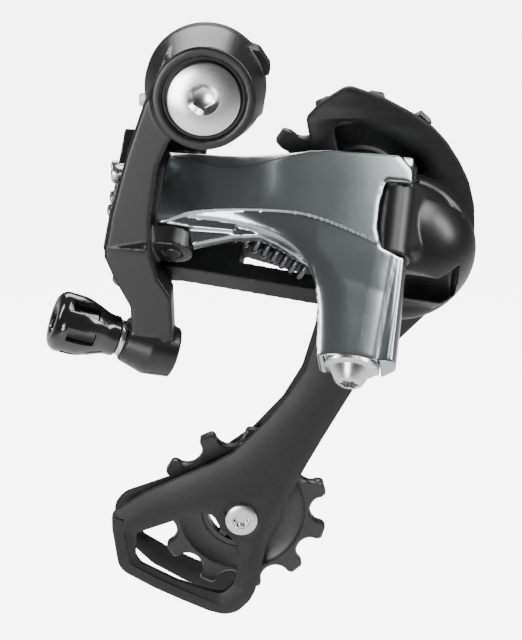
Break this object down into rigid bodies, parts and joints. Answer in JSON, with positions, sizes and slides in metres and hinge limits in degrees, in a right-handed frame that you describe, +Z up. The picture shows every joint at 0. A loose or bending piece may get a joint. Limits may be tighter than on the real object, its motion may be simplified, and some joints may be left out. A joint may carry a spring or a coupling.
{
  "type": "rear bicycle derailleur",
  "caption": "Slant-parallelogram rear derailleur with a sprung bracket, a long sprung cage, toothed pulleys, a cable clamp and a barrel adjuster.",
  "frame": {"origin": "on the hanger bolt's axis, in the plane of the hanger's outer face", "axes": "+X forward along the bicycle, +Y in towards the wheel along the hanger bolt, +Z up"},
  "size_m": [0.1071, 0.0675, 0.1623],
  "materials": {
    "black_paint": "satin black paint on cast aluminium",
    "link_paint": "glossy grey metallic paint, darker at glancing angles",
    "black_resin": "fine-grained matte black glass-filled resin",
    "gloss_resin": "glossy black moulded resin",
    "pulley_resin": "dark grey moulded pulley resin",
    "machined_steel": "turned and plated steel with fine circular marks",
    "zinc_steel": "rough zinc-plated steel",
    "dark_steel": "black oxide steel",
    "spring_steel": "dark oiled spring steel",
    "bronze": "sintered bronze",
    "plate_paint": "black coated pressed steel",
    "rubber": "matte rubber"
  },
  "bodies": {
    "hanger_bolt": {"bracket_axle": "machined_steel", "stopper_plate": "zinc_steel", "axle_clip": "spring_steel"},
    "bracket": {"bracket_body": "black_paint", "bracket_bush": "bronze", "bracket_spring": "spring_steel", "bracket_dust_ring": "rubber", "outer_link_bracket_pin": "dark_steel", "inner_link_bracket_pin": "dark_steel"},
    "high_limit": {"high_limit_screw": "machined_steel"},
    "low_limit": {"low_limit_screw": "machined_steel"},
    "tension_adjust": {"bracket_tension_screw": "machined_steel"},
    "outer_link": {"outer_link": "link_paint", "spring_anchor_pin": "dark_steel", "return_spring": "spring_steel"},
    "clamp": {"cable_clamp_bolt": "machined_steel", "cable_clamp_plate": "machined_steel"},
    "inner_link": {"inner_link": "plate_paint"},
    "carrier": {"cage_carrier": "black_paint", "outer_link_cage_pin": "dark_steel", "inner_link_cage_pin": "dark_steel", "cage_pivot_bush": "bronze", "cage_spring": "spring_steel", "cage_seal_ring": "rubber"},
    "cage": {"cage_axle": "machined_steel", "cage_stop_pin": "machined_steel", "outer_cage_plate": "black_resin", "inner_cage_plate": "plate_paint", "guide_bush": "bronze", "guide_outer_dust_cap": "dark_steel", "guide_inner_dust_cap": "dark_steel", "guide_pulley_bolt": "dark_steel", "tension_bush": "bronze", "tension_outer_dust_cap": "dark_steel", "tension_inner_dust_cap": "dark_steel", "tension_pulley_bolt": "machined_steel"},
    "guide_pulley": {"guide_pulley": "pulley_resin"},
    "tension_pulley": {"tension_pulley": "pulley_resin"},
    "adjuster_slider": {"adjuster_collar": "machined_steel", "adjuster_bolt": "machined_steel"},
    "adjuster": {"adjuster_barrel": "gloss_resin"}
  },
  "joints": [
    {"name": "bracket_swing", "type": "hinge", "parent": "hanger_bolt", "child": "bracket", "pos_m": [0, 0, 0], "axis": [0, 1, 0], "range_deg": [0, 23], "stiffness_Nm_per_rad": 0.6, "springref_deg": -34.38},
    {"name": "link_swing", "type": "hinge", "parent": "bracket", "child": "outer_link", "pos_m": [-0.0082, -0.018, -0.0393], "axis": [0.1305, 0.6634, 0.7368], "range_deg": [0, 46], "stiffness_Nm_per_rad": 0.8, "springref_deg": -34.38},
    {"name": "inner_link_swing", "type": "hinge", "parent": "bracket", "child": "inner_link", "pos_m": [-0.01295, -0.00781, -0.04764], "axis": [0.1305, 0.6634, 0.7368], "range_deg": [0, 46]},
    {"name": "carrier_counter_swing", "type": "hinge", "parent": "outer_link", "child": "carrier", "pos_m": [0.04406, -0.02672, -0.04071], "axis": [0.1305, 0.6634, 0.7368], "range_deg": [-46, 0]},
    {"name": "cage_swing", "type": "hinge", "parent": "carrier", "child": "cage", "pos_m": [0.0483, 0, -0.0416], "axis": [0, -1, 0], "range_deg": [0, 105], "stiffness_Nm_per_rad": 0.25, "springref_deg": -68.75},
    {"name": "guide_pulley_spin", "type": "hinge", "parent": "cage", "child": "guide_pulley", "pos_m": [0.0388, 0.01, -0.0296], "axis": [0, 1, 0], "continuous": true},
    {"name": "tension_pulley_spin", "type": "hinge", "parent": "cage", "child": "tension_pulley", "pos_m": [0.0082, 0.01, -0.1189], "axis": [0, 1, 0], "continuous": true},
    {"name": "adjuster_turn", "type": "hinge", "parent": "adjuster_slider", "child": "adjuster", "pos_m": [-0.0205, -0.019, -0.0608], "axis": [-0.9258, -0.1711, 0.3371], "range_deg": [0, 1440]},
    {"name": "adjuster_travel", "type": "slide", "parent": "bracket", "child": "adjuster_slider", "axis": [-0.9258, -0.1711, 0.3371], "range_m": [0, 0.0032]},
    {"name": "high_limit_turn", "type": "slide", "parent": "bracket", "child": "high_limit", "axis": [-0.986, 0.1645, 0.0265], "range_m": [0, 0.004]},
    {"name": "low_limit_turn", "type": "slide", "parent": "bracket", "child": "low_limit", "axis": [-0.986, 0.1645, 0.0265], "range_m": [0, 0.004]},
    {"name": "bracket_tension_turn", "type": "slide", "parent": "bracket", "child": "tension_adjust", "axis": [-1, 0, 0], "range_m": [0, 0.004]},
    {"name": "cable_clamp_turn", "type": "slide", "parent": "outer_link", "child": "clamp", "axis": [-0.1305, -0.6634, -0.7368], "range_m": [0, 0.002]}
  ],
  "couplings": [
    {"joint": "inner_link_swing", "follows": "link_swing", "ratio": 1},
    {"joint": "carrier_counter_swing", "follows": "link_swing", "ratio": -1},
    {"joint": "adjuster_turn", "follows": "adjuster_travel", "rad_per_m": 7854}
  ]
}
